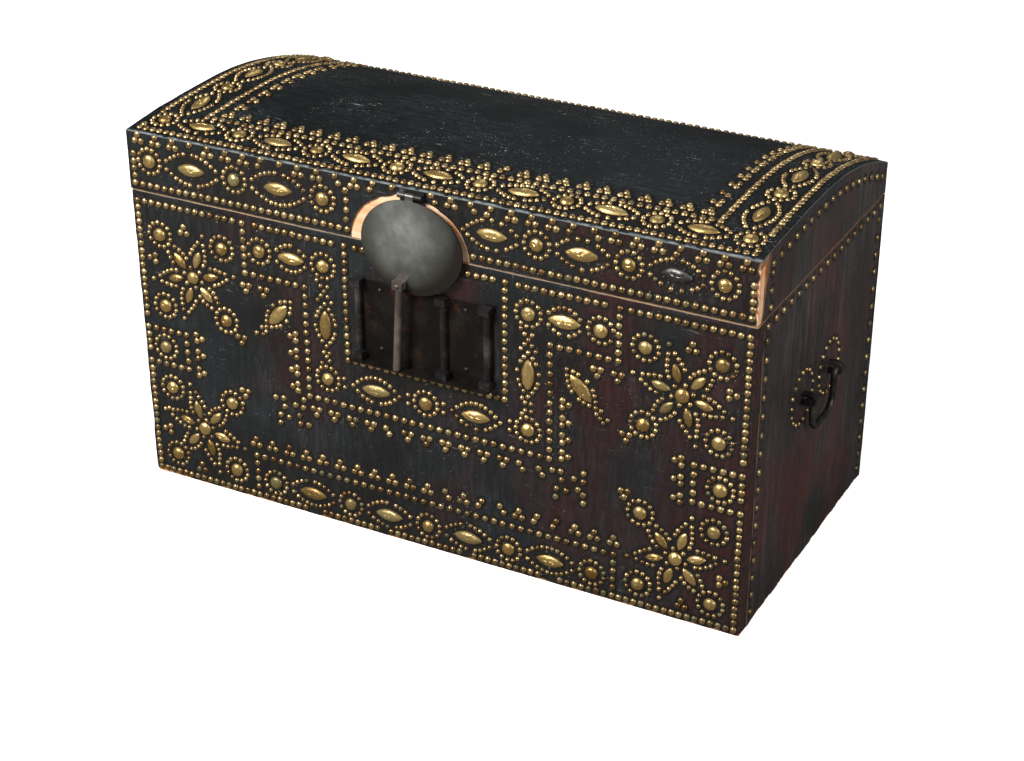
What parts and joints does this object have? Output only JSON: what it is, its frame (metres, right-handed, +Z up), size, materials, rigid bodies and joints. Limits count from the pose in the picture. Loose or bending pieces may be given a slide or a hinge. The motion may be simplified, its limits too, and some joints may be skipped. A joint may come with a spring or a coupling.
{
  "type": "leather-covered wooden chest",
  "caption": "Low domed wooden chest under dark leather, studded with brass tacks and bosses in star and chain patterns, with an iron lock plate, hasp and end handles.",
  "frame": {"origin": "middle of the footprint of the body on the floor", "axes": "+Z up; the front with the lock looks along -Y; +X is to the right seen from the front"},
  "size_m": [0.992, 0.5223, 0.5667],
  "materials": {
    "old_pine": "bare, aged",
    "dark_leather": "worn, semi-matt",
    "brass": "antique, patinated",
    "forged_iron": "dark, rust-stained"
  },
  "bodies": {
    "chest": {"body_back_board": "old_pine", "body_back_leather": "dark_leather", "body_back_tacks": "brass", "body_end_tacks": "brass", "body_front_almonds": "brass", "body_front_board": "old_pine", "body_front_leather": "dark_leather", "body_front_petals": "brass", "body_front_rounds": "brass", "body_front_small_tacks": "brass", "body_front_tacks": "brass", "body_hinge_leaves": "forged_iron", "body_hinge_nails": "forged_iron", "body_left_board": "old_pine", "body_left_leather": "dark_leather", "body_right_board": "old_pine", "body_right_leather": "dark_leather", "bottom_board": "old_pine", "handle_ring_tacks": "brass", "hinge_pins": "forged_iron", "left_handle_ears": "forged_iron", "lock_bars": "forged_iron", "lock_nails": "forged_iron", "lock_plate": "forged_iron", "right_handle_ears": "forged_iron"},
    "lid": {"hasp_hinge_leaf": "forged_iron", "hasp_hinge_nails": "forged_iron", "hasp_hinge_pin": "forged_iron", "lid_back_board": "old_pine", "lid_back_leather": "dark_leather", "lid_back_tacks": "brass", "lid_end_tacks": "brass", "lid_front_almonds": "brass", "lid_front_board": "old_pine", "lid_front_leather": "dark_leather", "lid_front_rounds": "brass", "lid_front_small_tacks": "brass", "lid_front_tacks": "brass", "lid_hinge_leaves": "forged_iron", "lid_hinge_nails": "forged_iron", "lid_left_board": "old_pine", "lid_left_leather": "dark_leather", "lid_right_board": "old_pine", "lid_right_leather": "dark_leather", "lid_stave_1": "old_pine", "lid_stave_2": "old_pine", "lid_stave_3": "old_pine", "lid_stave_4": "old_pine", "lid_stave_5": "old_pine", "lid_top_almonds": "brass", "lid_top_leather": "dark_leather", "lid_top_rounds": "brass", "lid_top_small_tacks": "brass", "lid_top_tacks": "brass"},
    "hasp": {"hasp_bar": "forged_iron", "hasp_cover": "forged_iron", "hasp_rivet": "forged_iron"},
    "left_handle": {"left_handle": "forged_iron"},
    "right_handle": {"right_handle": "forged_iron"}
  },
  "joints": [
    {"name": "lid_hinge", "type": "hinge", "parent": "chest", "child": "lid", "pos_m": [0, 0.2475, 0.4608], "axis": [-1, 0, 0], "range_deg": [0, 105]},
    {"name": "hasp_hinge", "type": "hinge", "parent": "lid", "child": "hasp", "pos_m": [-0.013, -0.246, 0.541], "axis": [-1, 0, 0], "range_deg": [0, 150]},
    {"name": "left_handle_swing", "type": "hinge", "parent": "chest", "child": "left_handle", "pos_m": [-0.4873, -0.003, 0.275], "axis": [0, 1, 0], "range_deg": [-5, 185]},
    {"name": "right_handle_swing", "type": "hinge", "parent": "chest", "child": "right_handle", "pos_m": [0.4873, -0.003, 0.275], "axis": [0, -1, 0], "range_deg": [-5, 185]}
  ]
}
